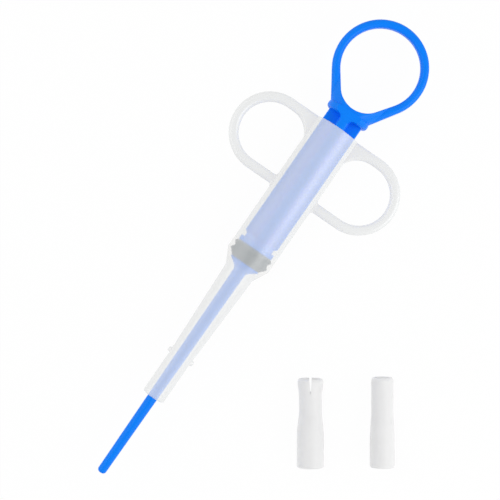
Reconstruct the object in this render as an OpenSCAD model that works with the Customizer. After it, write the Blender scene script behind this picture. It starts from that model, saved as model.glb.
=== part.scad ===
// Dosing syringe with a through push rod, lying on its barrel, with two loose push-on tips beside it.
// The origin is the centre of the nozzle's end. +X runs along the barrel to the thumb ring, +Z is up.

/* [Barrel] */
// Outer radius of the barrel tube
barrel_r = 8.3; // [7.5:0.05:9.5]
// Wall of the barrel tube
barrel_wall = 0.85; // [0.7:0.05:1.2]
// Length of the tube, from the shoulder to the open mouth
barrel_len = 53.9; // [45:0.1:70]
// Length of the cone between the nozzle and the tube
shoulder_len = 5.5; // [4.5:0.1:8]
// How much the tube narrows from the finger rings to the mouth, in radius
mouth_draft = 0.1; // [0.02:0.02:0.2]
// Bevel inside the open mouth
mouth_bevel = 0.4; // [0.2:0.05:0.5]

/* [Nozzle] */
// Length of the nozzle, from its end to the shoulder
nozzle_len = 51.6; // [40:0.1:65]
// Outer radius of the straight seat that a tip is pushed onto
seat_r = 4.1; // [3.7:0.05:4.6]
// Length of that seat
seat_len = 15.5; // [12:0.1:18]
// Outer radius of the nozzle where it meets the shoulder
nozzle_root_r = 5.45; // [5:0.05:6.2]
// Wall of the nozzle
nozzle_wall = 1.2; // [0.9:0.05:1.4]
// Bevel on the nozzle's end
nozzle_bevel = 0.5; // [0.2:0.05:0.8]
// Radius of the foot of each side nub
nub_r = 1.25; // [1:0.05:1.6]
// Radius of the top of each side nub
nub_top_r = 0.7; // [0.4:0.05:0.9]
// How far each side nub stands out of the nozzle
nub_height = 0.95; // [0.5:0.05:1.4]

/* [Finger rings] */
// Outer radius of each finger ring's round end
finger_ring_r = 14.1; // [12:0.1:17]
// Distance of the round end's centre from the barrel's axis
finger_ring_reach = 18.5; // [17:0.1:24]
// Width of the finger ring's bar
finger_bar_w = 3.4; // [2.6:0.05:4]
// Thickness of the finger ring's bar
finger_bar_t = 4.4; // [3.6:0.1:6]
// Bevel on the edges of the finger ring's bar
finger_bevel = 0.9; // [0.4:0.05:1.2]
// Radius of the fillet between bar and barrel at the mouth
finger_fillet_r = 8.5; // [6:0.1:9.5]

/* [Push rod and head] */
// How far the push rod stands out of the nozzle when the plunger is in
rod_reach = 31.5; // [20:0.1:45]
// Radius of the push rod at its tip
rod_tip_r = 1.55; // [1.2:0.05:1.8]
// Radius of the push rod at the head
rod_root_r = 2.25; // [1.8:0.05:2.6]
// Rounding of the push rod's end
rod_round = 1; // [0.4:0.05:1.1]
// Largest radius of the flared head
head_r = 5.5; // [5:0.05:5.9]
// Length of the flare between push rod and head
flare_len = 3; // [2:0.1:4]
// Curve of that flare: 1 is a plain cone, more opens later
flare_curve = 1.6; // [1:0.1:2.5]
// Thickness of the head's rim
head_rim = 0.5; // [0.3:0.05:0.8]
// Radius of the seat under the seal
seal_seat_r = 4; // [3.4:0.05:4.4]
// Radius of the disc behind the seal
disc_r = 6.65; // [6.2:0.05:6.9]
// Thickness of the disc behind the seal
disc_t = 1.9; // [1.2:0.1:2.6]
// Radius of the neck behind the disc
neck_r = 5.8; // [5:0.05:6.1]
// Length of the neck behind the disc
neck_len = 1.4; // [0.8:0.1:2.4]

/* [Stem and thumb ring] */
// Width of the cross-shaped stem over its ribs
stem_w = 13.1; // [12.2:0.1:13.4]
// Thickness of the stem's ribs
rib_t = 3.2; // [2:0.1:4]
// Length of stem that shows behind the mouth when the plunger is in
stem_out = 4.5; // [2:0.1:12]
// How much smaller the radius of the flange that ends the stem is than the barrel's
flange_inset = 0.3; // [0.1:0.05:0.9]
// Thickness of the flange
flange_t = 2.5; // [1.6:0.1:3.2]
// Bevel on the flange's rim
flange_bevel = 0.8; // [0.3:0.05:0.9]
// Radius of the fillets that lead the stem's upright rib into the flange
flange_fillet_r = 1.6; // [0.8:0.1:2.4]
// Outer radius of the thumb ring
thumb_ring_r = 16.6; // [14:0.1:19]
// Width of the thumb ring's bar
thumb_bar_w = 2.9; // [2.6:0.05:4]
// Thickness of the thumb ring's bar
thumb_bar_t = 4.4; // [3.6:0.1:6]
// Bevel on the edges of the thumb ring's bar
thumb_bevel = 0.8; // [0.4:0.05:1.2]
// Distance from the flange to the thumb ring's centre
thumb_ring_gap = 18.55; // [17.5:0.05:23]
// Radius of the narrow end of the thumb ring's hole
throat_r = 8.7; // [7:0.1:10]
// Web left between the flange and the thumb ring's hole
throat_web = 1.7; // [1:0.1:3]
// Wall of the thick root that blends the flange into the thumb ring, around the hole's narrow end
yoke_wall = 2.6; // [1.6:0.1:3]

/* [Seal] */
// Radius of the seal's front face
seal_front_r = 5.6; // [5.2:0.05:6.2]
// Length of the cone in front of the first lip
seal_cone_len = 2; // [1.4:0.1:2.4]
// Width of each lip's land
lip_land = 0.5; // [0.3:0.05:0.8]
// Distance between the two lips
lip_pitch = 2.7; // [2.2:0.1:3.4]
// Depth of the groove between the lips
lip_groove = 0.8; // [0.4:0.05:1.2]
// Length of the bevel behind the second lip
seal_tail = 0.6; // [0.3:0.05:1]

/* [Slotted tip] */
// Length of the slotted tip
slotted_len = 30.6; // [27:0.1:36]
// Outer radius of its sleeve
slotted_base_r = 4.65; // [4.3:0.05:5.4]
// Length of the straight part of its sleeve
slotted_base_len = 12.1; // [9:0.1:14]
// Outer radius of its waist
slotted_waist_r = 3.9; // [3.6:0.05:4.2]
// Height of the waist above the base
slotted_waist_at = 20.8; // [18:0.1:22]
// Outer radius of its flared end
slotted_end_r = 4.45; // [4.1:0.05:4.8]
// Radius of the cup that holds a tablet
cup_r = 3.3; // [3:0.05:3.5]
// Depth of that cup
cup_depth = 6.4; // [5.4:0.1:7.5]
// Depth of the slits between the petals
slit_depth = 4.9; // [3:0.1:5.2]
// Width of each slit at the open end
slit_w = 1; // [0.6:0.05:1.4]
// Width of each slit at its root
slit_root_w = 0.4; // [0.3:0.05:0.5]

/* [Plain tip] */
// Length of the plain tip
plain_len = 31; // [27:0.1:36]
// Outer radius of its sleeve
plain_base_r = 4.3; // [4.1:0.05:5]
// Length of the straight part of its sleeve
plain_base_len = 9.1; // [7:0.1:12]
// Outer radius of its delivery end
plain_end_r = 3.8; // [3.55:0.05:4.1]
// Height at which the delivery end begins
plain_end_at = 15.1; // [13:0.1:20]

/* [Tips in common] */
// Radius of the passage through a tip
passage_r = 2.7; // [2.4:0.05:2.9]
// Rounding of a tip's delivery end
tip_round = 1; // [0.4:0.05:1]
// Bevel on a tip's base
tip_bevel = 0.3; // [0.1:0.05:0.4]

/* [Fits] */
// Radial clearance between seal and barrel, and between seal and seat
seal_clearance = 0.05; // [0.02:0.01:0.08]
// End play of the seal between head and disc, on each side
seal_end_play = 0.05; // [0.02:0.01:0.2]
// Distance from the shoulder to the first lip when the plunger is in
stop_gap = 0.2; // [0.1:0.05:1]
// How much smaller a tip's socket is than the seat it stretches over
tip_squeeze = 0.6; // [0.3:0.05:0.7]
// Play left between a tip's base and the side nubs when the tip is on
tip_stop_gap = 0.5; // [0.2:0.1:1.5]

/* [Where the tips lie] */
// Direction in which the tips point, turned from +X
tip_turn = 34.7; // [0:0.1:90]
// Place of the slotted tip's base along X
tip_row_x = 10.4; // [0:0.1:60]
// Place of the slotted tip's base along Y
tip_row_y = -58.5; // [-80:0.1:-56]
// Distance between the two tips, which lie side by side with their bases in line
tip_spacing = 24.8; // [15:0.1:40]

/* [Hidden] */
$fn = 96;

// How far a joined solid reaches into its neighbour, and a cut past a face
weld = 0.5;
// Steps of a drawn curve
steps = 6;

bore_r = barrel_r - barrel_wall;
seat_bore_r = seat_r - nozzle_wall;
root_bore_r = nozzle_root_r - nozzle_wall;
tube_x = nozzle_len + shoulder_len;
mouth_x = tube_x + barrel_len;

nub_x = seat_len + nub_r;
nub_root_r = seat_r + (nozzle_root_r - seat_r) * (nub_x - seat_len) / (nozzle_len - seat_len);

finger_ring_x = mouth_x - finger_ring_r;
finger_front_x = finger_ring_x - finger_ring_r;
finger_line_r = finger_ring_r - finger_bar_w / 2;

lip_r = bore_r - seal_clearance;
seal_bore_r = seal_seat_r + seal_clearance;
first_lip_x = tube_x + stop_gap;
seal_front_x = first_lip_x - seal_cone_len;
second_lip_x = first_lip_x + lip_pitch;
seal_back_x = second_lip_x + lip_land + seal_tail;

head_x = seal_front_x - seal_end_play;
flare_x = head_x - head_rim - flare_len;
disc_x = seal_back_x + seal_end_play;
neck_x = disc_x + disc_t;
stem_x = neck_x + neck_len;
flange_r = barrel_r - flange_inset;
flange_x = mouth_x + stem_out;
yoke_x = flange_x + flange_t;
thumb_ring_x = yoke_x + thumb_ring_gap;
throat_x = yoke_x + throat_web + throat_r;
thumb_hole_r = thumb_ring_r - thumb_bar_w;

socket_r = seat_r - tip_squeeze;
socket_len = seat_len - tip_stop_gap;

// Turns an outline of [x, r] points about the X axis
module turned(outline) {
    rotate([0, 90, 0])
        rotate_extrude()
            polygon([for (p = outline) [p[1], p[0]]]);
}

// Bar section with bevelled corners, w across and t thick
function bar_section(w, t, c) = [
    [-w / 2 + c, -t / 2],
    [w / 2 - c, -t / 2],
    [w / 2, -t / 2 + c],
    [w / 2, t / 2 - c],
    [w / 2 - c, t / 2],
    [-w / 2 + c, t / 2],
    [-w / 2, t / 2 - c],
    [-w / 2, -t / 2 + c],
];

// Quarter rounds of radius c at an edge, as [x, r] points: at the first end x, and at the last end x
function round_start(x, r, c) = [
    for (i = [0:steps])
        let (a = 90 * i / steps)
            [x + c * (1 - cos(a)), r - c * (1 - sin(a))]
];
function round_end(x, r, c) = [
    for (i = [0:steps])
        let (a = 90 * i / steps)
            [x - c * (1 - sin(a)), r - c * (1 - cos(a))]
];

// Both finger rings: two cross bars, joined at each side by a half circle
module finger_rings() {
    section = bar_section(finger_bar_w, finger_bar_t, finger_bevel);
    for (side = [-1, 1])
        translate([finger_ring_x + side * finger_line_r, -finger_ring_reach, 0])
            rotate([-90, 0, 0])
                linear_extrude(2 * finger_ring_reach)
                    polygon(section);
    for (half = [0, 1])
        mirror([0, half, 0])
            translate([finger_ring_x, finger_ring_reach, 0])
                rotate_extrude(angle = 180)
                    translate([finger_line_r, 0])
                        polygon(section);
}

// Web, t thick, that fills the corner between a side at y and a face across it at x with a fillet of radius r
module corner_web(x, y, r, t) {
    translate([x - r, y, -t / 2])
        linear_extrude(t)
            difference() {
                translate([0, -weld / 2])
                    square([r + weld, r + weld / 2]);
                translate([0, r])
                    circle(r);
            }
}

// Small round stud on the side of the nozzle, behind the seat
module nub() {
    translate([nub_x, nub_root_r - nozzle_wall / 2, 0])
        rotate([-90, 0, 0])
            cylinder(h = nub_height + nozzle_wall / 2, r1 = nub_r, r2 = nub_top_r);
}

module barrel() {
    color([0.9, 0.92, 0.94, 0.5])
        difference() {
            union() {
                turned([
                    [0, 0],
                    [0, seat_r - nozzle_bevel],
                    [nozzle_bevel, seat_r],
                    [seat_len, seat_r],
                    [nozzle_len, nozzle_root_r],
                    [tube_x, barrel_r],
                    [finger_front_x, barrel_r],
                    [mouth_x, barrel_r - mouth_draft],
                    [mouth_x, 0],
                ]);
                finger_rings();
                for (half = [0, 1])
                    mirror([0, half, 0]) {
                        corner_web(
                            mouth_x - finger_bar_w,
                            barrel_r - weld,
                            finger_fillet_r,
                            finger_bar_t - 2 * finger_bevel
                        );
                        nub();
                    }
            }
            turned([
                [-weld, 0],
                [-weld, seat_bore_r],
                [seat_len, seat_bore_r],
                [nozzle_len, root_bore_r],
                [tube_x, bore_r],
                [mouth_x - mouth_bevel, bore_r],
                [mouth_x + weld, bore_r + mouth_bevel + weld],
                [mouth_x + weld, 0],
            ]);
        }
}

// Push rod, flared head, seal seat, backing disc and neck, in one turned outline
module rod_and_head() {
    flare = [
        for (i = [0:steps])
            let (s = i / steps)
                [flare_x + flare_len * s, rod_root_r + (head_r - rod_root_r) * pow(s, flare_curve)]
    ];
    turned(concat(
        [[-rod_reach, 0]],
        round_start(-rod_reach, rod_tip_r, rod_round),
        flare,
        [
            [head_x, head_r],
            [head_x, seal_seat_r],
            [disc_x, seal_seat_r],
            [disc_x, disc_r],
            [neck_x, disc_r],
            [neck_x, neck_r],
            [stem_x, neck_r],
            [stem_x, 0],
        ]
    ));
}

// Cross-shaped stem: two crossed slabs, with their front corners cut back
module stem() {
    cut = max(stem_w / 2 - neck_r, 0);
    for (turn = [0, 90])
        rotate([turn, 0, 0])
            translate([0, 0, -rib_t / 2])
                linear_extrude(rib_t)
                    polygon([
                        [stem_x - neck_len / 2, -stem_w / 2 + cut],
                        [stem_x, -stem_w / 2 + cut],
                        [stem_x + cut, -stem_w / 2],
                        [flange_x + flange_t / 2, -stem_w / 2],
                        [flange_x + flange_t / 2, stem_w / 2],
                        [stem_x + cut, stem_w / 2],
                        [stem_x, stem_w / 2 - cut],
                        [stem_x - neck_len / 2, stem_w / 2 - cut],
                    ]);
}

// Keeps what lies between the flange's two flats, which are flush with the stem's upright rib
module between_flats() {
    intersection() {
        children();
        cube([2 * thumb_ring_x, 2 * thumb_ring_r, stem_w], center = true);
    }
}

// Flange that ends the stem: a disc with two flats, and fillets to the upright rib
module flange() {
    between_flats()
        turned([
            [flange_x, 0],
            [flange_x, flange_r - flange_bevel],
            [flange_x + flange_bevel, flange_r],
            [yoke_x - flange_bevel, flange_r],
            [yoke_x, flange_r - flange_bevel],
            [yoke_x, 0],
        ]);
    for (half = [0, 1])
        mirror([0, half, 0])
            corner_web(flange_x, rib_t / 2, flange_fillet_r, stem_w);
}

// Slab of the thumb ring's outer shape, inset by c and t thick
module thumb_slab(c, t) {
    translate([thumb_ring_x, 0, 0])
        cylinder(h = t, r = thumb_ring_r - c, center = true);
    translate([yoke_x - flange_t / 4, 0, 0])
        cube([flange_t / 2, 2 * (flange_r - flange_bevel - c), t], center = true);
}

// Funnel that bevels the rim of the thumb ring's hole on its upper face
module thumb_hole_rim(r) {
    h = thumb_bevel + weld;
    translate([0, 0, thumb_bar_t / 2 - thumb_bevel])
        cylinder(h = h, r1 = r, r2 = r + h);
}

// Egg-shaped hole for the thumb, as tall as the flange
module thumb_hole() {
    hull() {
        translate([thumb_ring_x, 0, 0])
            cylinder(h = 2 * flange_r, r = thumb_hole_r, center = true);
        translate([throat_x, 0, 0])
            cylinder(h = 2 * flange_r, r = throat_r, center = true);
    }
}

// Thick root of the thumb ring, which runs from the flange out to the flat bar
module yoke() {
    difference() {
        hull() {
            between_flats()
                translate([yoke_x - flange_t / 2, 0, 0])
                    rotate([0, 90, 0])
                        cylinder(h = flange_t / 2, r = flange_r - flange_bevel);
            translate([throat_x, 0, 0])
                cylinder(h = thumb_bar_t - 2 * thumb_bevel, r = throat_r + yoke_wall, center = true);
        }
        thumb_hole();
    }
}

// Thumb ring, closed at the flange's side
module thumb_ring() {
    difference() {
        hull() {
            thumb_slab(0, thumb_bar_t - 2 * thumb_bevel);
            thumb_slab(thumb_bevel, thumb_bar_t);
        }
        thumb_hole();
        for (face = [0, 1])
            mirror([0, 0, face])
                hull() {
                    translate([thumb_ring_x, 0, 0])
                        thumb_hole_rim(thumb_hole_r);
                    translate([throat_x, 0, 0])
                        thumb_hole_rim(throat_r);
                }
    }
}

module plunger() {
    color([0.1, 0.48, 0.98]) {
        rod_and_head();
        stem();
        flange();
        thumb_ring();
        yoke();
    }
}

module plunger_seal() {
    groove_r = lip_r - lip_groove;
    groove_x = (first_lip_x + lip_land + second_lip_x) / 2;
    color([0.55, 0.56, 0.57])
        turned([
            [seal_front_x, seal_bore_r],
            [seal_front_x, seal_front_r],
            [first_lip_x, lip_r],
            [first_lip_x + lip_land, lip_r],
            [groove_x, groove_r],
            [second_lip_x, lip_r],
            [second_lip_x + lip_land, lip_r],
            [seal_back_x, groove_r],
            [seal_back_x, seal_bore_r],
        ]);
}

// Lays a tip, drawn along the X axis from its base, on the surface under the barrel
module lay_tip(base_r, along_row) {
    translate([tip_row_x, tip_row_y, base_r - barrel_r])
        rotate([0, 0, tip_turn])
            translate([0, -along_row, 0])
                children();
}

// Socket at a tip's base and the passage on to its delivery end
module tip_bore(len) {
    turned([
        [-weld, 0],
        [-weld, socket_r],
        [socket_len, socket_r],
        [socket_len, passage_r],
        [len + weld, passage_r],
        [len + weld, 0],
    ]);
}

module slotted_tip() {
    color([0.94, 0.94, 0.94])
        lay_tip(slotted_base_r, 0)
            difference() {
                turned(concat(
                    [
                        [0, 0],
                        [0, slotted_base_r - tip_bevel],
                        [tip_bevel, slotted_base_r],
                        [slotted_base_len, slotted_base_r],
                        [slotted_waist_at, slotted_waist_r],
                    ],
                    round_end(slotted_len, slotted_end_r, tip_round),
                    [[slotted_len, 0]]
                ));
                tip_bore(slotted_len);
                translate([slotted_len - cup_depth, 0, 0])
                    rotate([0, 90, 0])
                        cylinder(h = cup_depth + weld, r = cup_r);
                for (turn = [0, 90])
                    rotate([turn, 0, 0])
                        slit();
            }
}

// Wedge that cuts one pair of facing slits into the slotted tip's end
module slit() {
    root_x = slotted_len - slit_depth;
    translate([0, 0, -2 * slotted_end_r])
        linear_extrude(4 * slotted_end_r)
            polygon([
                [root_x, -slit_root_w / 2],
                [slotted_len + weld, -slit_w / 2],
                [slotted_len + weld, slit_w / 2],
                [root_x, slit_root_w / 2],
            ]);
}

module plain_tip() {
    color([0.95, 0.95, 0.95])
        lay_tip(plain_base_r, tip_spacing)
            difference() {
                turned(concat(
                    [
                        [0, 0],
                        [0, plain_base_r - tip_bevel],
                        [tip_bevel, plain_base_r],
                        [plain_base_len, plain_base_r],
                        [plain_end_at, plain_end_r],
                    ],
                    round_end(plain_len, plain_end_r, tip_round),
                    [[plain_len, 0]]
                ));
                tip_bore(plain_len);
            }
}

barrel();
plunger();
plunger_seal();
slotted_tip();
plain_tip();
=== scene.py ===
import math

import bmesh
import bpy
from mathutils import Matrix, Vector


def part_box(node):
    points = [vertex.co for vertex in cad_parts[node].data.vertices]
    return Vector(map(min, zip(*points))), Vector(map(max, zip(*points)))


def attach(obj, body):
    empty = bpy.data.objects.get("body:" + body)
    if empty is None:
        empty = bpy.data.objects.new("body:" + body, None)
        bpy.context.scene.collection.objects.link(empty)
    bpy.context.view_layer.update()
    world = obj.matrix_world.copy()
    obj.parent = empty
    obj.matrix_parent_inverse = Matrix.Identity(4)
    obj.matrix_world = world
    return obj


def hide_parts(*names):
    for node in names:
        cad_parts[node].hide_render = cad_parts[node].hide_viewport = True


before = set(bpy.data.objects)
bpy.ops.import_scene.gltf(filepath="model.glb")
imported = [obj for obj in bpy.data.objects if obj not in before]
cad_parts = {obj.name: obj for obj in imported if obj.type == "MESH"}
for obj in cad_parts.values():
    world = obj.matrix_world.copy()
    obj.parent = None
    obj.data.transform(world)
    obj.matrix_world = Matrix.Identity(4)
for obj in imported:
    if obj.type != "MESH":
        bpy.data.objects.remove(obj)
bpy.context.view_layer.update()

# Plunger: thumb ring, flange, cross-ribbed stem, seal seat and the long push rod in one piece.
# It is moulded in blue polypropylene, and it is pushed into the barrel from the open mouth.
MM = 0.001
TURNED_STEPS = 96
RING_STEPS = 72
ROD_END_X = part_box("plunger")[0].x / MM
ROD_END_R = 1.55
ROD_END_ROUND = 1.15
ROD_ROOT_R = 2.25
FLARE_X = 51.75
FLARE_LEN = 3.0
FLARE_CURVE = 1.6
FLARE_STEPS = 10
HEAD_R = 5.5
HEAD_BACK_X = 55.25
SEAL_SEAT_R = 4.0
DISC_X = 61.15
DISC_R = 6.65
DISC_T = 1.9
NECK_R = 5.55
STEM_X = 64.45
STEM_R = 6.55
RIB_HALF = 1.6
RIB_ROUND = 0.35
RIB_FILLET = 0.5
STEM_TAPER = 0.75
FLANGE_X = 115.5
FLANGE_T = 2.5
FLANGE_R = 8.0
FLANGE_ROUND = 0.5
FLANGE_SLOPE = 1.4
FLANGE_SLOPE_LEN = 1.2
FLANGE_FILLET = 1.6
SUNK = 0.04
RING_R = 16.6
RING_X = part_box("plunger")[1].x / MM - RING_R
RING_BAR_W = 2.9
RING_BAR_T = 4.4
RING_ROUND = 1.3
YOKE_X = 117.2
YOKE_HALF = 7.2
YOKE_ROOT_R = 7.2
THROAT_X = 127.8
THROAT_R = 8.7
YOKE_WALL = 2.6
YOKE_ROUND = 0.4
BLUE = "0083FC"
BLUE_DEEP = "007BF5"
# Slack for merging points and for picking by place, in millimetres
SAME_PLACE = 0.002
NEAR = 0.01
SLIVER = 0.015
RIM_STEP = 0.25
# Least turn, in radians, of a sharp edge, and of the thumb hole's rim, where a sloping face meets the wall
SHARP = 1.0
RIM_SHARP = 0.9


def arc(x, y, radius, start, end, steps, across=None):
    """Points of an arc about (x, y), from one angle to another in degrees; across makes it an oval."""
    angles = [math.radians(start + (end - start) * i / steps) for i in range(steps + 1)]
    return [(x + radius * math.cos(a), y + (across or radius) * math.sin(a)) for a in angles]


def straight(start, end, steps):
    """Points that part a straight line evenly."""
    return [tuple(a + (b - a) * i / steps for a, b in zip(start, end)) for i in range(steps + 1)]


def start_piece(name):
    """Starts a piece as a single vertex at the origin, in edit mode."""
    bpy.ops.object.select_all(action="DESELECT")
    bpy.ops.mesh.primitive_plane_add(size=MM)
    piece = bpy.context.object
    piece.name = piece.data.name = name
    bpy.ops.object.mode_set(mode="EDIT")
    bpy.ops.mesh.select_mode(type="VERT")
    bpy.ops.mesh.select_all(action="SELECT")
    bpy.ops.mesh.merge(type="CENTER")
    return piece


def draw(points):
    """Moves the selected vertex to the first point, in millimetres, and extrudes it from point to point."""
    places = [Vector((*p, 0)[:3]) * MM for p in points]
    bpy.ops.transform.translate(value=places[0])
    for a, b in zip(places, places[1:]):
        bpy.ops.mesh.extrude_region_move(TRANSFORM_OT_translate={"value": b - a})


def clean():
    """Merges what lies together and points all faces outwards."""
    bpy.ops.mesh.select_all(action="SELECT")
    bpy.ops.mesh.remove_doubles(threshold=SAME_PLACE * MM)
    bpy.ops.mesh.normals_make_consistent(inside=False)


def turned(name, outline):
    """A piece turned about the X axis from an outline of (x, radius) points in millimetres."""
    piece = start_piece(name)
    draw(outline)
    bpy.ops.mesh.select_all(action="SELECT")
    bpy.ops.mesh.spin(steps=TURNED_STEPS, angle=math.tau, center=(0, 0, 0), axis=(1, 0, 0))
    clean()
    bpy.ops.object.mode_set(mode="OBJECT")
    return piece


def slab(name, outline, thick):
    """A flat solid with an outline of (x, y) points in millimetres, as thick above z = 0 as below it."""
    piece = start_piece(name)
    draw(outline + outline[:1])
    clean()
    bpy.ops.mesh.edge_face_add()
    bpy.ops.transform.translate(value=(0, 0, -thick / 2 * MM))
    bpy.ops.mesh.extrude_region_move(TRANSFORM_OT_translate={"value": (0, 0, thick * MM)})
    clean()
    bpy.ops.object.mode_set(mode="OBJECT")
    return piece


def pick(kind, test):
    """Selects the edges or faces, in edit mode, that pass a test."""
    bpy.ops.mesh.select_mode(type="EDGE" if kind == "edges" else "FACE")
    bpy.ops.mesh.select_all(action="DESELECT")
    mesh = bmesh.from_edit_mesh(bpy.context.object.data)
    for part in getattr(mesh, kind):
        part.select_set(test(part))
    bmesh.update_edit_mesh(bpy.context.object.data)


def weld(piece, others, operation="UNION"):
    """Joins other closed solids to a piece, cuts them out of it, or keeps what they share with it."""
    bpy.context.view_layer.objects.active = piece
    for other in others:
        step = piece.modifiers.new(operation, "BOOLEAN")
        step.operation = operation
        step.solver = "MANIFOLD"
        step.object = other
        bpy.ops.object.modifier_apply(modifier=step.name)
        bpy.data.objects.remove(other)


def drop_slivers(piece):
    """Clears a welded piece of the tiny faces that the joins leave."""
    bpy.ops.object.select_all(action="DESELECT")
    piece.select_set(True)
    bpy.context.view_layer.objects.active = piece
    bpy.ops.object.mode_set(mode="EDIT")
    bpy.ops.mesh.select_all(action="SELECT")
    bpy.ops.mesh.remove_doubles(threshold=SLIVER * MM)
    bpy.ops.mesh.dissolve_degenerate(threshold=SLIVER * MM)
    bpy.ops.mesh.delete_loose(use_verts=True, use_edges=True, use_faces=False)
    pick("faces", lambda face: len(face.verts) > 4)
    bpy.ops.mesh.quads_convert_to_tris(quad_method="BEAUTY", ngon_method="BEAUTY")
    bpy.ops.object.mode_set(mode="OBJECT")


def smooth(piece, degrees=32):
    """Shades a piece smooth, apart from edges sharper than an angle, with its flat faces kept flat."""
    bpy.ops.object.select_all(action="DESELECT")
    piece.select_set(True)
    bpy.context.view_layer.objects.active = piece
    bpy.ops.object.shade_smooth_by_angle(angle=math.radians(degrees))
    step = piece.modifiers.new("flat_faces", "WEIGHTED_NORMAL")
    step.keep_sharp = True
    bpy.ops.object.modifier_apply(modifier=step.name)


flare_shares = [i / FLARE_STEPS for i in range(FLARE_STEPS + 1)]
flare = [
    (FLARE_X + FLARE_LEN * s, ROD_ROOT_R + (HEAD_R - ROD_ROOT_R) * s ** FLARE_CURVE)
    for s in flare_shares
]
rod = turned("rod", [
    (ROD_END_X, 0),
    *arc(ROD_END_X + ROD_END_ROUND, ROD_END_R - ROD_END_ROUND, ROD_END_ROUND, 180, 90, 8),
    *flare,
    (HEAD_BACK_X, HEAD_R),
    (HEAD_BACK_X, SEAL_SEAT_R),
    (DISC_X, SEAL_SEAT_R),
    (DISC_X, DISC_R - RIB_ROUND),
    *arc(DISC_X + RIB_ROUND, DISC_R - RIB_ROUND, RIB_ROUND, 180, 90, 4),
    *arc(DISC_X + DISC_T - RIB_ROUND, DISC_R - RIB_ROUND, RIB_ROUND, 90, 0, 4),
    (DISC_X + DISC_T, NECK_R),
    (STEM_X + RIB_ROUND, NECK_R),
    (STEM_X + RIB_ROUND, 0),
])

# One quarter of the cross section, from the middle of one rib's end to the next rib's
rib_end = math.degrees(math.asin((RIB_HALF - RIB_ROUND) / (STEM_R - RIB_ROUND)))
corner = (STEM_R - RIB_ROUND) * math.cos(math.radians(rib_end))
nook = RIB_HALF + RIB_FILLET
quarter = [
    *arc(0, 0, STEM_R, 0, rib_end, 4),
    *arc(corner, RIB_HALF - RIB_ROUND, RIB_ROUND, rib_end, 90, 4)[1:],
    *arc(nook, nook, RIB_FILLET, 270, 180, 4),
    *[(y, x) for x, y in arc(corner, RIB_HALF - RIB_ROUND, RIB_ROUND, 90, rib_end, 4)],
    *[(y, x) for x, y in arc(0, 0, STEM_R, rib_end, 0, 4)[1:-1]],
]
cross = []
for turn in range(4):
    side = round(math.cos(turn * math.pi / 2))
    up = round(math.sin(turn * math.pi / 2))
    cross += [(STEM_X + STEM_TAPER, y * side - z * up, y * up + z * side) for y, z in quarter]
stem = start_piece("stem")
draw(cross + cross[:1])
clean()
bpy.ops.mesh.edge_face_add()
bpy.ops.mesh.extrude_region_move(
    TRANSFORM_OT_translate={"value": ((FLANGE_X + FLANGE_T / 2 - STEM_X - STEM_TAPER) * MM, 0, 0)})
# The stem's front end narrows to the neck
taper_end = (STEM_X + 2 * STEM_TAPER) * MM
pick("faces", lambda face: len(face.verts) > 4 and face.calc_center_median().x < taper_end)
bpy.ops.mesh.extrude_region_move(TRANSFORM_OT_translate={"value": (-STEM_TAPER * MM, 0, 0)})
bpy.ops.transform.resize(value=(1, NECK_R / STEM_R, NECK_R / STEM_R))
clean()
bpy.ops.object.mode_set(mode="OBJECT")

# The flange is a disc with flats above and below, and fillets lead the upright rib into it
flange = turned("flange", [
    (FLANGE_X, 0),
    *arc(FLANGE_X + FLANGE_SLOPE_LEN, FLANGE_R - FLANGE_SLOPE, FLANGE_SLOPE_LEN, 180, 90, 6, FLANGE_SLOPE),
    *arc(FLANGE_X + FLANGE_T - FLANGE_ROUND, FLANGE_R - FLANGE_ROUND, FLANGE_ROUND, 90, 0, 6),
    (FLANGE_X + FLANGE_T, 0),
])
flats_front = FLANGE_X - FLANGE_T
flats = slab("flats", [
    (flats_front, -RING_R),
    (RING_X, -RING_R),
    (RING_X, RING_R),
    (flats_front, RING_R),
], 2 * STEM_R)
weld(flange, [flats], "INTERSECT")
# The fillets and the ring's root end just below the flats, so that no two faces share a plane
fillet_x = FLANGE_X - FLANGE_FILLET
fillet_y = RIB_HALF + FLANGE_FILLET
fillets = slab("fillets", [
    *arc(fillet_x, fillet_y, FLANGE_FILLET, -90, 0, 8),
    (FLANGE_X + FLANGE_T / 2, fillet_y),
    (FLANGE_X + FLANGE_T / 2, -fillet_y),
    *arc(fillet_x, -fillet_y, FLANGE_FILLET, 0, 90, 8),
], 2 * (STEM_R - SUNK))

# The ring's outer outline is a circle, with straight sides that run from it to the yoke
yoke_away = math.hypot(RING_X - YOKE_X, YOKE_HALF)
side_turn = math.degrees(math.asin(RING_R / yoke_away) - math.atan2(YOKE_HALF, RING_X - YOKE_X))
ring_edge = arc(RING_X, 0, RING_R, -90 - side_turn, 90 + side_turn, RING_STEPS)
yoke_left = (YOKE_X, YOKE_HALF)
yoke_right = (YOKE_X, -YOKE_HALF)
outer = [
    *ring_edge,
    *straight(ring_edge[-1], yoke_left, 8)[1:],
    *straight(yoke_left, yoke_right, 8)[1:],
    *straight(yoke_right, ring_edge[0], 8)[1:],
]
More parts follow.
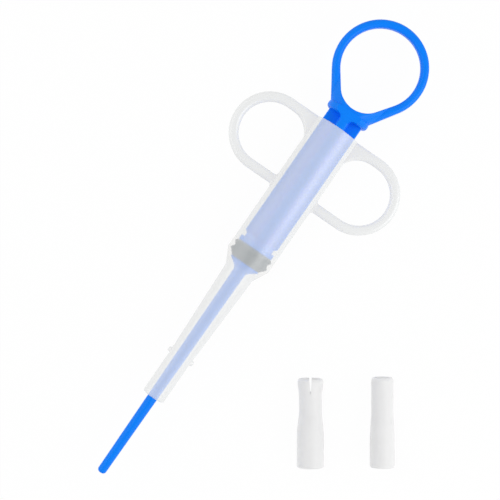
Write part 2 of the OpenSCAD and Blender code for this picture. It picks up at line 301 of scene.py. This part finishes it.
# Its hole is egg-shaped: two circles and their common tangents
hole_r = RING_R - RING_BAR_W
egg_turn = 180 - math.degrees(math.acos((hole_r - THROAT_R) / (RING_X - THROAT_X)))
inner = [
    *arc(RING_X, 0, hole_r, -egg_turn, egg_turn, RING_STEPS),
    *arc(THROAT_X, 0, THROAT_R, egg_turn, 360 - egg_turn, 22),
]
thumb_ring = start_piece("thumb_ring")
draw(outer)
clean()
bpy.ops.mesh.select_all(action="DESELECT")
bpy.ops.mesh.primitive_plane_add(size=MM)
bpy.ops.mesh.merge(type="CENTER")
draw(inner + inner[:1])
clean()
bpy.ops.mesh.bridge_edge_loops()
bpy.ops.mesh.select_all(action="SELECT")
bpy.ops.transform.translate(value=(0, 0, -RING_BAR_T / 2 * MM))
bpy.ops.mesh.extrude_region_move(TRANSFORM_OT_translate={"value": (0, 0, RING_BAR_T * MM)})
clean()
pick("edges", lambda edge: edge.calc_face_angle(0) > SHARP)
bpy.ops.mesh.bevel(offset=RING_ROUND * MM, segments=6, affect="EDGES")
clean()
bpy.ops.object.mode_set(mode="OBJECT")

# The yoke is the ring's thick root, drawn over the flange's back face and a round slab at the hole's
# narrow end, with the hole cut through it
flat_turn = math.degrees(math.asin((STEM_R - SUNK) / YOKE_ROOT_R))
flange_back = [
    *arc(0, 0, YOKE_ROOT_R, -flat_turn, flat_turn, 24),
    *arc(0, 0, YOKE_ROOT_R, 180 - flat_turn, 180 + flat_turn, 24),
]
yoke = start_piece("yoke")
draw([(FLANGE_X + FLANGE_T / 2, y, z) for y, z in flange_back])
for level in (-1, 1):
    bpy.ops.mesh.select_all(action="DESELECT")
    bpy.ops.mesh.primitive_circle_add(
        vertices=RING_STEPS, radius=(THROAT_R + YOKE_WALL) * MM,
        location=(THROAT_X * MM, 0, level * (RING_BAR_T / 2 - RING_ROUND) * MM))
bpy.ops.mesh.select_all(action="SELECT")
bpy.ops.mesh.convex_hull()
clean()
bpy.ops.object.mode_set(mode="OBJECT")
weld(yoke, [slab("thumb_hole", inner, 4 * FLANGE_R)], "DIFFERENCE")


def at_hole_rim(edge):
    """True for a sharp edge round the hole, at the top or the foot of its wall."""
    behind_flange = min(v.co.x for v in edge.verts) > (FLANGE_X + FLANGE_T) * MM
    one_level = edge.verts[0].co.z * edge.verts[1].co.z > 0
    return behind_flange and one_level and edge.calc_face_angle(0) > RIM_SHARP


# The rim's shortest steps are merged before it is rounded, because a round needs room between them
bpy.ops.object.mode_set(mode="EDIT")
pick("edges", at_hole_rim)
bpy.ops.mesh.remove_doubles(threshold=RIM_STEP * MM)
pick("edges", at_hole_rim)
bpy.ops.mesh.bevel(offset=YOKE_ROUND * MM, segments=3, affect="EDGES")
clean()
bpy.ops.object.mode_set(mode="OBJECT")

plunger = rod
plunger.name = plunger.data.name = "blue_plunger"
weld(plunger, [stem, flange, fillets, yoke, thumb_ring])
drop_slivers(plunger)
smooth(plunger)


def linear(hex_colour):
    """An sRGB hex colour as the linear RGBA that shaders take."""
    parts = [int(hex_colour[i:i + 2], 16) / 255 for i in (0, 2, 4)]
    return [c / 12.92 if c < 0.04045 else ((c + 0.055) / 1.055) ** 2.4 for c in parts] + [1]


def new_material(name):
    """An empty node material, with its tree."""
    material = bpy.data.materials.new(name)
    material.use_nodes = True
    material.node_tree.nodes.clear()
    return material, material.node_tree


def node(tree, kind, inputs, **settings):
    """Adds a node with its settings; an input takes a value or another node's output."""
    made = tree.nodes.new("ShaderNode" + kind)
    for name, value in settings.items():
        setattr(made, name, value)
    for name, value in inputs.items():
        if isinstance(value, bpy.types.NodeSocket):
            tree.links.new(value, made.inputs[name])
        else:
            made.inputs[name].default_value = value
    return made


def per_mm(size):
    """Noise scale, in metres of Object coordinates, that gives features of a size in millimetres."""
    return 1 / (size * MM)


# Moulded polypropylene, coloured through: half gloss, with the faint orange peel of a polished mould
blue_pp, tree = new_material("blue_moulded_polypropylene")
place = node(tree, "TexCoord", {}).outputs["Object"]
flow = node(tree, "TexNoise", {"Vector": place, "Scale": per_mm(9), "Detail": 2})
colour = node(tree, "Mix", {
    "Factor": flow.outputs["Fac"],
    "A": linear(BLUE_DEEP),
    "B": linear(BLUE),
}, data_type="RGBA")
peel = node(tree, "TexNoise", {"Vector": place, "Scale": per_mm(0.5), "Detail": 3})
gloss = node(tree, "MapRange", {"Value": flow.outputs["Fac"], "To Min": 0.3, "To Max": 0.42})
bump = node(tree, "Bump", {"Height": peel.outputs["Fac"], "Strength": 0.12, "Distance": 0.05 * MM})
plastic = node(tree, "BsdfPrincipled", {
    "Base Color": colour.outputs["Result"],
    "Roughness": gloss.outputs["Result"],
    "IOR": 1.49,
    "Specular IOR Level": 0.15,
    "Normal": bump.outputs["Normal"],
})
node(tree, "OutputMaterial", {"Surface": plastic.outputs["BSDF"]})
plunger.data.materials.clear()
plunger.data.materials.append(blue_pp)
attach(plunger, "plunger")
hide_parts("plunger")

# Plunger seal: ring with two sealing lips, moulded in grey rubber.
# It is stretched over the flared head and sits between head and disc.
SEAL_FRONT_X = 55.3
SEAL_BACK_X = 61.1
SEAL_BORE_R = 4.05
SEAL_FRONT_R = 5.6
SEAL_FRONT_ROUND = 0.3
LIP_R = 7.4
LIP_ROUND = 0.25
FIRST_LIP_X = 57.55
SECOND_LIP_X = 60.25
GROOVE_R = 6.6
GREY = "242426"
GREY_DARK = "18181A"

seal_outline = [
    (SEAL_FRONT_X, SEAL_BORE_R),
    (SEAL_FRONT_X, SEAL_FRONT_R - SEAL_FRONT_ROUND),
    *arc(SEAL_FRONT_X + SEAL_FRONT_ROUND, SEAL_FRONT_R - SEAL_FRONT_ROUND, SEAL_FRONT_ROUND, 180, 130, 3),
    *arc(FIRST_LIP_X, LIP_R - LIP_ROUND, LIP_ROUND, 130, 40, 6),
    *arc((FIRST_LIP_X + SECOND_LIP_X) / 2, GROOVE_R + LIP_ROUND, LIP_ROUND, 230, 310, 4),
    *arc(SECOND_LIP_X, LIP_R - LIP_ROUND, LIP_ROUND, 140, 40, 6),
    (SEAL_BACK_X, GROOVE_R),
    (SEAL_BACK_X, SEAL_BORE_R),
]
seal = turned("grey_plunger_seal", seal_outline + seal_outline[:1])
smooth(seal)

# Moulded rubber, oiled so that it slides: dark and a little mottled, with a fine grain and a soft highlight
grey_rubber, tree = new_material("grey_moulded_rubber")
place = node(tree, "TexCoord", {}).outputs["Object"]
mottle = node(tree, "TexNoise", {"Vector": place, "Scale": per_mm(1.5), "Detail": 4})
colour = node(tree, "Mix", {
    "Factor": mottle.outputs["Fac"],
    "A": linear(GREY_DARK),
    "B": linear(GREY),
}, data_type="RGBA")
grain = node(tree, "TexNoise", {"Vector": place, "Scale": per_mm(0.25), "Detail": 2})
matt = node(tree, "MapRange", {"Value": mottle.outputs["Fac"], "To Min": 0.32, "To Max": 0.45})
bump = node(tree, "Bump", {"Height": grain.outputs["Fac"], "Strength": 0.25, "Distance": 0.05 * MM})
rubber = node(tree, "BsdfPrincipled", {
    "Base Color": colour.outputs["Result"],
    "Roughness": matt.outputs["Result"],
    "IOR": 1.52,
    "Specular IOR Level": 0.8,
    "Normal": bump.outputs["Normal"],
})
node(tree, "OutputMaterial", {"Surface": rubber.outputs["BSDF"]})
seal.data.materials.clear()
seal.data.materials.append(grey_rubber)
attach(seal, "seal")
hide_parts("plunger_seal")

# Barrel: nozzle, shoulder, tube and two finger rings in one moulding of natural polypropylene.
# The plunger slides in it; a soft tip is pushed onto the nozzle as far as its two side nubs.
NOZZLE_WALL = 1.2
NOZZLE_ROUND = 0.8
SEAT_R = 4.1
SEAT_END_X = 15.5
NOZZLE_ROOT_X = 51.6
NOZZLE_ROOT_R = 5.45
TUBE_X = 57.1
TUBE_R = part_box("barrel")[1].z / MM
BORE_R = 7.45
MOUTH_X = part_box("barrel")[1].x / MM
MOUTH_DRAFT = 0.1
MOUTH_R = TUBE_R - MOUTH_DRAFT
MOUTH_ROUND = 0.3
NUB_X = 16.75
NUB_FOOT_R = 1.25
NUB_TOP_R = 0.7
NUB_OUT = 0.95
NUB_ROUND = 0.3
FINGER_RING_R = 14.1
FINGER_RING_X = MOUTH_X - FINGER_RING_R
FINGER_RING_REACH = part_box("barrel")[1].y / MM - FINGER_RING_R
FINGER_BAR_W = 3.4
FINGER_BAR_T = 4.4
FINGER_ROUND = 1.3
FINGER_FILLET = 8.5
FOOT_FILLET = 1.0
FOOT_Y = 7.6
MILK = "E6EDF0"
MILK_CLOUD = "E1E8EB"
CLEAR = "FFFCFA"
CLEARNESS = 0.37
SHOULDER_CLEARNESS = 0.48
CLEAR_X = 57.8
CLEAR_HALF = 1.6
CLEAR_BLEND = 4.2
LAMP_CLEARNESS = 0.9
SHEEN = 0.2
BORE_SHEEN = 0.03
BORE_FACING = 0.5

ring_front = FINGER_RING_X - FINGER_RING_R
barrel_outline = [
    (NOZZLE_ROUND, SEAT_R - NOZZLE_WALL),
    *arc(NOZZLE_ROUND, SEAT_R - NOZZLE_ROUND, NOZZLE_ROUND, 180, 90, 6),
    (SEAT_END_X, SEAT_R),
    (NOZZLE_ROOT_X, NOZZLE_ROOT_R),
    (TUBE_X, TUBE_R),
    (ring_front, TUBE_R),
    *arc(MOUTH_X - MOUTH_ROUND, MOUTH_R - MOUTH_ROUND, MOUTH_ROUND, 90, 0, 4),
    *arc(MOUTH_X - MOUTH_ROUND, BORE_R + MOUTH_ROUND, MOUTH_ROUND, 0, -90, 4),
    (TUBE_X, BORE_R),
    (NOZZLE_ROOT_X, NOZZLE_ROOT_R - NOZZLE_WALL),
    (SEAT_END_X, SEAT_R - NOZZLE_WALL),
]
barrel = turned("frosted_barrel", barrel_outline + barrel_outline[:1])

# One finger ring's outlines, from its front foot in the tube's wall round to the one at the mouth
hole_front = ring_front + FINGER_BAR_W
hole_back = MOUTH_X - FINGER_BAR_W
foot_top = TUBE_R + FOOT_FILLET
web_top = FOOT_Y + FINGER_FILLET
outer_side = [
    (ring_front - FOOT_FILLET, FOOT_Y),
    *arc(ring_front - FOOT_FILLET, foot_top, FOOT_FILLET, -90, 0, 5),
    *straight((ring_front, foot_top), (ring_front, FINGER_RING_REACH), 4)[1:],
    *arc(FINGER_RING_X, FINGER_RING_REACH, FINGER_RING_R, 180, 0, 48)[1:],
    *straight((MOUTH_X, FINGER_RING_REACH), (MOUTH_X, FOOT_Y), 13)[1:],
]
inner_side = [
    (hole_front + FOOT_FILLET, FOOT_Y),
    *arc(hole_front + FOOT_FILLET, foot_top, FOOT_FILLET, 270, 180, 5),
    *straight((hole_front, foot_top), (hole_front, FINGER_RING_REACH), 4)[1:],
    *arc(FINGER_RING_X, FINGER_RING_REACH, FINGER_RING_R - FINGER_BAR_W, 180, 0, 48)[1:],
    (hole_back, web_top),
    *arc(hole_back - FINGER_FILLET, web_top, FINGER_FILLET, 0, -90, 12)[1:],
]
root_r = (BORE_R + TUBE_R) / 2
core_front = ring_front - FINGER_BAR_W
core_back = MOUTH_X + FINGER_BAR_W
core_outline = [(core_front, 0), (core_front, root_r), (core_back, root_r), (core_back, 0)]


def at_bar_edge(edge):
    """True for a sharp edge along a ring's bar, apart from those of its feet."""
    level = abs(edge.verts[0].co.z - edge.verts[1].co.z) < NEAR * MM
    past_foot = max(abs(v.co.y) for v in edge.verts) > (FOOT_Y + NEAR) * MM
    return level and past_foot and edge.calc_face_angle(0) > SHARP


finger_rings = []
for side in (1, -1):
    ring = start_piece("finger_ring")
    draw([(x, side * y) for x, y in outer_side])
    bpy.ops.mesh.select_all(action="DESELECT")
    bpy.ops.mesh.primitive_plane_add(size=MM)
    bpy.ops.mesh.merge(type="CENTER")
    draw([(x, side * y) for x, y in inner_side])
    bpy.ops.mesh.select_all(action="SELECT")
    bpy.ops.mesh.bridge_edge_loops()
    bpy.ops.mesh.select_all(action="SELECT")
    bpy.ops.transform.translate(value=(0, 0, -FINGER_BAR_T / 2 * MM))
    bpy.ops.mesh.extrude_region_move(TRANSFORM_OT_translate={"value": (0, 0, FINGER_BAR_T * MM)})
    clean()
    pick("edges", at_bar_edge)
    bpy.ops.mesh.bevel(offset=FINGER_ROUND * MM, segments=6, affect="EDGES")
    clean()
    bpy.ops.object.mode_set(mode="OBJECT")
    # Its feet are cut to end within the tube's wall, clear of the bore
    weld(ring, [turned("core", core_outline)], "DIFFERENCE")
    finger_rings.append(ring)

# The nubs stand on the nozzle's taper, with their feet in its wall
nozzle_slope = (NOZZLE_ROOT_R - SEAT_R) / (NOZZLE_ROOT_X - SEAT_END_X)
nub_foot = SEAT_R + (NUB_X - SEAT_END_X) * nozzle_slope
nub_low = nub_foot - NOZZLE_WALL / 2
nub_high = nub_foot + NUB_OUT
nubs = []
for side in (1, -1):
    bpy.ops.object.select_all(action="DESELECT")
    bpy.ops.mesh.primitive_cone_add(
        vertices=32, radius1=NUB_FOOT_R * MM, radius2=NUB_TOP_R * MM, depth=(nub_high - nub_low) * MM,
        location=(NUB_X * MM, side * (nub_low + nub_high) / 2 * MM, 0), rotation=(-side * math.pi / 2, 0, 0))
    nub = bpy.context.object
    bpy.ops.object.transform_apply(location=True, rotation=True, scale=True)
    bpy.ops.object.mode_set(mode="EDIT")
    pick("edges", lambda edge: min(abs(v.co.y) for v in edge.verts) > (nub_high - NEAR) * MM)
    bpy.ops.mesh.bevel(offset=NUB_ROUND * MM, segments=4, affect="EDGES")
    bpy.ops.object.mode_set(mode="OBJECT")
    nubs.append(nub)
weld(barrel, finger_rings + nubs)
drop_slivers(barrel)
smooth(barrel)

# Natural polypropylene: milky, with part of the sight passing straight through and the rest scattered.
# The scattered light is a little bluer, and the light let through a little warmer, as in any thin milky wall
frosted_pp, tree = new_material("frosted_natural_polypropylene")
place = node(tree, "TexCoord", {}).outputs["Object"]
cloud = node(tree, "TexNoise", {"Vector": place, "Scale": per_mm(6), "Detail": 3})
colour = node(tree, "Mix", {
    "Factor": cloud.outputs["Fac"],
    "A": linear(MILK_CLOUD),
    "B": linear(MILK),
}, data_type="RGBA")
skin = node(tree, "TexNoise", {"Vector": place, "Scale": per_mm(0.6), "Detail": 2})
gloss = node(tree, "MapRange", {"Value": cloud.outputs["Fac"], "To Min": 0.4, "To Max": 0.5})
bump = node(tree, "Bump", {"Height": skin.outputs["Fac"], "Strength": 0.06, "Distance": 0.03 * MM})
plastic = node(tree, "BsdfPrincipled", {
    "Base Color": colour.outputs["Result"],
    "Roughness": gloss.outputs["Result"],
    "Specular IOR Level": 0.0,
    "Normal": bump.outputs["Normal"],
})
sheen = node(tree, "BsdfGlossy", {"Roughness": gloss.outputs["Result"], "Normal": bump.outputs["Normal"]})
milk = node(tree, "MixShader", {0: SHEEN, 1: plastic.outputs[0], 2: sheen.outputs[0]})
path = node(tree, "LightPath", {})
lamp = node(tree, "Math", {
    0: path.outputs["Is Shadow Ray"],
    1: path.outputs["Is Diffuse Ray"],
}, operation="MAXIMUM")
# The wall is clearest around the shoulder, where the seal shows through it plainly
along = node(tree, "SeparateXYZ", {"Vector": place})
away = node(tree, "Math", {0: along.outputs["X"], 1: CLEAR_X * MM}, operation="SUBTRACT")
away = node(tree, "Math", {0: away.outputs[0]}, operation="ABSOLUTE")
sight = node(tree, "MapRange", {
    "Value": away.outputs[0],
    "From Min": CLEAR_HALF * MM,
    "From Max": (CLEAR_HALF + CLEAR_BLEND) * MM,
    "To Min": SHOULDER_CLEARNESS,
    "To Max": CLEARNESS,
}, interpolation_type="SMOOTHSTEP")
# Lamplight passes it more easily than sight does, and seen from inside it adds no milk
passed = node(tree, "MapRange", {
    "Value": lamp.outputs[0],
    "To Min": sight.outputs[0],
    "To Max": LAMP_CLEARNESS,
})
face = node(tree, "NewGeometry", {})
passed = node(tree, "Math", {0: passed.outputs[0], 1: face.outputs["Backfacing"]}, operation="MAXIMUM")
clear = node(tree, "BsdfTransparent", {"Color": linear(CLEAR)})
wall = node(tree, "MixShader", {0: passed.outputs[0], 1: milk.outputs[0], 2: clear.outputs[0]})
node(tree, "OutputMaterial", {"Surface": wall.outputs[0]})

# The bore's side of the same wall comes off a polished core: clear, with a faint gloss and no milk
polished_bore, tree = new_material("polished_polypropylene_bore")
shine = node(tree, "BsdfGlossy", {"Roughness": 0.15})
clear = node(tree, "BsdfTransparent", {})
wall = node(tree, "MixShader", {0: BORE_SHEEN, 1: clear.outputs[0], 2: shine.outputs[0]})
node(tree, "OutputMaterial", {"Surface": wall.outputs[0]})

barrel.data.materials.clear()
barrel.data.materials.append(frosted_pp)
barrel.data.materials.append(polished_bore)
bpy.ops.object.mode_set(mode="EDIT")


def faces_axis(face):
    """True for a face of the bore: near the barrel's axis and turned towards it."""
    out = face.calc_center_median() * Vector((0, 1, 1))
    near_axis = out.length < (BORE_R + MOUTH_ROUND / 2) * MM
    return near_axis and face.normal.dot(out) < -BORE_FACING * out.length


pick("faces", faces_axis)
barrel.active_material_index = 1
bpy.ops.object.material_slot_assign()
bpy.ops.object.mode_set(mode="OBJECT")
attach(barrel, "barrel")
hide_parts("barrel")

# Slotted tip: soft push-on sleeve whose flared end is slit into four petals that hold a tablet.
# It is moulded in white silicone, and lies loose on the surface beside the syringe.
TIP_TURN = 34.7
TIP_ROLL = -2.5
TIP_BASE = Vector((10.4, -58.5, 0))
SURFACE_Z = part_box("barrel")[0].z / MM
SOCKET_R = 3.5
SOCKET_LEN = 15.0
PASSAGE_R = 2.7
BASE_ROUND = 0.5
SOCKET_ROUND = 0.25
SLOTTED_LEN = 30.6
SLOTTED_BASE_R = 4.65
SLOTTED_BASE_LEN = 11.0
SLOTTED_WAIST_R = 3.9
SLOTTED_WAIST_X = 20.0
SLOTTED_FLARE_X = 24.0
SLOTTED_END_R = 4.45
PETAL_ROUND = 0.8
PETAL_ROUND_LEN = 1.3
RIM_ROUND = 0.3
CUP_R = 3.3
CUP_LEN = 6.4
SLIT_LEN = 4.9
SLIT_W = 1.0
SLIT_ROOT_W = 0.4
SILICONE = "E8E8E8"
SILICONE_CLOUD = "E4E4E4"
GLOW = 0.6


def ease(start, end, steps):
    """Points of a line between two (x, radius) points that leaves and arrives level."""
    (x0, r0), (x1, r1) = start, end
    shares = [i / steps for i in range(steps + 1)]
    return [(x0 + (x1 - x0) * s, r0 + (r1 - r0) * s * s * (3 - 2 * s)) for s in shares]


def lay_down(piece, base_r, along_row):
    """Turns and moves a tip, drawn from the origin along X, to where it lies on the surface."""
    turn = math.radians(TIP_TURN)
    place = TIP_BASE + Vector((math.sin(turn), -math.cos(turn), 0)) * along_row
    place.z = SURFACE_Z + base_r
    piece.rotation_euler = (math.radians(TIP_ROLL), 0, turn)
    piece.location = place * MM
    bpy.ops.object.select_all(action="DESELECT")
    piece.select_set(True)
    bpy.context.view_layer.objects.active = piece
    bpy.ops.object.transform_apply(location=True, rotation=True, scale=True)


petal_x = SLOTTED_LEN - PETAL_ROUND_LEN
slotted_outline = [
    *arc(BASE_ROUND, SLOTTED_BASE_R - BASE_ROUND, BASE_ROUND, 180, 90, 5),
    *ease((SLOTTED_BASE_LEN, SLOTTED_BASE_R), (SLOTTED_WAIST_X, SLOTTED_WAIST_R), 10),
    *ease((SLOTTED_FLARE_X, SLOTTED_WAIST_R), (petal_x, SLOTTED_END_R), 8),
    *arc(petal_x, SLOTTED_END_R - PETAL_ROUND, PETAL_ROUND_LEN, 90, 0, 8, PETAL_ROUND)[1:],
    *arc(SLOTTED_LEN - RIM_ROUND, CUP_R + RIM_ROUND, RIM_ROUND, 0, -90, 4),
    (SLOTTED_LEN - CUP_LEN, CUP_R),
    (SLOTTED_LEN - CUP_LEN, PASSAGE_R),
    (SOCKET_LEN, PASSAGE_R),
    (SOCKET_LEN, SOCKET_R),
    *arc(SOCKET_ROUND, SOCKET_R + SOCKET_ROUND, SOCKET_ROUND, 270, 180, 4),
]
slotted = turned("slotted_silicone_tip", slotted_outline + slotted_outline[:1])
# Two crossed slits, each narrower at its root, part the flared end into petals
slit_root = SLOTTED_LEN - SLIT_LEN
slit_far = SLOTTED_LEN + SLIT_W
slit_outline = [
    (slit_root, -SLIT_ROOT_W / 2),
    (slit_far, -SLIT_W / 2),
    (slit_far, SLIT_W / 2),
    (slit_root, SLIT_ROOT_W / 2),
]
slits = []
for turn in (0, 90):
    slit = slab("slit", slit_outline, 4 * SLOTTED_END_R)
    slit.rotation_euler = (math.radians(turn), 0, 0)
    bpy.ops.object.transform_apply(location=True, rotation=True, scale=True)
    slits.append(slit)
weld(slotted, slits, "DIFFERENCE")
lay_down(slotted, SLOTTED_BASE_R, 0)
smooth(slotted)

# Moulded silicone: white, soft and slightly see-through, so light spreads in it and edges stay pale
silicone, tree = new_material("white_moulded_silicone")
place = node(tree, "TexCoord", {}).outputs["Object"]
cloud = node(tree, "TexNoise", {"Vector": place, "Scale": per_mm(5), "Detail": 3})
colour = node(tree, "Mix", {
    "Factor": cloud.outputs["Fac"],
    "A": linear(SILICONE_CLOUD),
    "B": linear(SILICONE),
}, data_type="RGBA")
bloom = node(tree, "TexNoise", {"Vector": place, "Scale": per_mm(0.4), "Detail": 2})
matt = node(tree, "MapRange", {"Value": cloud.outputs["Fac"], "To Min": 0.42, "To Max": 0.56})
bump = node(tree, "Bump", {"Height": bloom.outputs["Fac"], "Strength": 0.15, "Distance": 0.04 * MM})
soft = node(tree, "BsdfPrincipled", {
    "Base Color": colour.outputs["Result"],
    "Roughness": matt.outputs["Result"],
    "IOR": 1.41,
    "Subsurface Weight": 0.3,
    "Subsurface Radius": (1, 1, 1),
    "Subsurface Scale": MM,
    "Normal": bump.outputs["Normal"],
})
path = node(tree, "LightPath", {})
lamp = node(tree, "Math", {
    0: path.outputs["Is Shadow Ray"],
    1: path.outputs["Is Diffuse Ray"],
}, operation="MAXIMUM")
passed = node(tree, "Math", {0: lamp.outputs[0], 1: GLOW}, operation="MULTIPLY")
clear = node(tree, "BsdfTransparent", {})
wall = node(tree, "MixShader", {0: passed.outputs[0], 1: soft.outputs[0], 2: clear.outputs[0]})
node(tree, "OutputMaterial", {"Surface": wall.outputs[0]})
slotted.data.materials.clear()
slotted.data.materials.append(silicone)
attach(slotted, "slotted_tip")
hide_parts("slotted_tip")

# Plain tip: the same kind of sleeve, with a plain round opening for liquids.
# It is moulded in the same silicone, and lies beside the slotted one.
TIP_SPACING = 24.8
PLAIN_LEN = 31.0
PLAIN_BASE_R = 4.3
PLAIN_BASE_LEN = 8.0
PLAIN_END_R = 3.8
PLAIN_END_X = 20.0
PLAIN_ROUND = 0.8
PLAIN_ROUND_LEN = 1.6

plain_outline = [
    *arc(BASE_ROUND, PLAIN_BASE_R - BASE_ROUND, BASE_ROUND, 180, 90, 5),
    *ease((PLAIN_BASE_LEN, PLAIN_BASE_R), (PLAIN_END_X, PLAIN_END_R), 10),
    *arc(PLAIN_LEN - PLAIN_ROUND_LEN, PLAIN_END_R - PLAIN_ROUND, PLAIN_ROUND_LEN, 90, 0, 8, PLAIN_ROUND),
    *arc(PLAIN_LEN - RIM_ROUND, PASSAGE_R + RIM_ROUND, RIM_ROUND, 0, -90, 4),
    (SOCKET_LEN, PASSAGE_R),
    (SOCKET_LEN, SOCKET_R),
    *arc(SOCKET_ROUND, SOCKET_R + SOCKET_ROUND, SOCKET_ROUND, 270, 180, 4),
]
plain = turned("plain_silicone_tip", plain_outline + plain_outline[:1])
lay_down(plain, PLAIN_BASE_R, TIP_SPACING)
smooth(plain)
plain.data.materials.clear()
plain.data.materials.append(silicone)
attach(plain, "plain_tip")
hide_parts("plain_tip")

# Surface: a pale sheet that the syringe and its tips lie on.
# It shows nearly white and takes a soft shadow.
FLOOR_SIZE = 4.0
FLOOR_WHITE = "F2F2F2"
FLOOR_GLOW = 0.97

bpy.ops.object.select_all(action="DESELECT")
bpy.ops.mesh.primitive_plane_add(size=FLOOR_SIZE, location=(0, 0, SURFACE_Z * MM))
floor = bpy.context.object
floor.name = "pale_sheet"
sheet, tree = new_material("pale_paper_sheet")
path = node(tree, "LightPath", {})
seen = node(tree, "Math", {
    0: path.outputs["Is Camera Ray"],
    1: path.outputs["Is Glossy Ray"],
}, operation="MAXIMUM")
seen = node(tree, "Math", {
    0: seen.outputs[0],
    1: path.outputs["Is Transmission Ray"],
}, operation="MAXIMUM")
share = node(tree, "Math", {0: seen.outputs[0], 1: FLOOR_GLOW}, operation="MULTIPLY")
paper = node(tree, "BsdfDiffuse", {"Color": linear(FLOOR_WHITE)})
white = node(tree, "Emission", {"Color": (1, 1, 1, 1), "Strength": 1})
both = node(tree, "MixShader", {0: share.outputs[0], 1: paper.outputs[0], 2: white.outputs[0]})
node(tree, "OutputMaterial", {"Surface": both.outputs[0]})
floor.data.materials.append(sheet)

# Light: a white room that is brightest along its walls,
# with a broad soft lamp on each side of the syringe, turned to it.
ROOM_WALLS = 0.9
ROOM_CEILING = 0.42
KEY_X = 0.2
FILL_X = -0.15
LAMP_OUT = 0.5
LAMP_UP = 0.42
KEY_POWER = 2.0
KEY_SIZE = (0.5, 0.42)
FILL_POWER = 2.0
FILL_SIZE = (1.0, 0.7)

room = bpy.data.worlds.new("white_room")
room.use_nodes = True
tree = room.node_tree
tree.nodes.clear()
way = node(tree, "TexCoord", {})
height = node(tree, "SeparateXYZ", {"Vector": way.outputs["Generated"]})
light = node(tree, "MapRange", {"Value": height.outputs["Z"], "To Min": ROOM_WALLS, "To Max": ROOM_CEILING})
path = node(tree, "LightPath", {})
seen = node(tree, "Math", {
    0: path.outputs["Is Camera Ray"],
    1: path.outputs["Is Transmission Ray"],
}, operation="MAXIMUM")
level = node(tree, "Mix", {"Factor": seen.outputs[0], "A": light.outputs["Result"], "B": 1.0})
air = node(tree, "Background", {"Color": (1, 1, 1, 1), "Strength": level.outputs["Result"]})
node(tree, "OutputWorld", {"Surface": air.outputs[0]})
bpy.context.scene.world = room

for name, place, power, size in (
    ("key", (KEY_X, -LAMP_OUT, LAMP_UP), KEY_POWER, KEY_SIZE),
    ("fill", (FILL_X, LAMP_OUT, LAMP_UP), FILL_POWER, FILL_SIZE),
):
    bpy.ops.object.light_add(type="AREA", location=place)
    lamp = bpy.context.object
    lamp.name = name + "_lamp"
    lamp.data.shape = "RECTANGLE"
    lamp.data.energy = power
    lamp.data.size, lamp.data.size_y = size
    lamp.rotation_euler = (-math.atan2(place[1], place[2]), 0, 0)

# Camera: straight above with a long lens,
# turned so that the syringe runs from the lower left to the upper right.
CAMERA_PLACE = Vector((60.1, 1.27, 479)) * MM
CAMERA_TURN = -55.28
CAMERA_LENS = 100.84
SENSOR_WIDTH = 36
CLIP_START = 10 * MM

bpy.ops.object.camera_add(location=CAMERA_PLACE, rotation=(0, 0, math.radians(CAMERA_TURN)))
camera = bpy.context.object
camera.name = "camera"
camera.data.lens = CAMERA_LENS
camera.data.sensor_width = SENSOR_WIDTH
camera.data.clip_start = CLIP_START
bpy.context.scene.camera = camera
bpy.context.scene.view_settings.view_transform = "Standard"
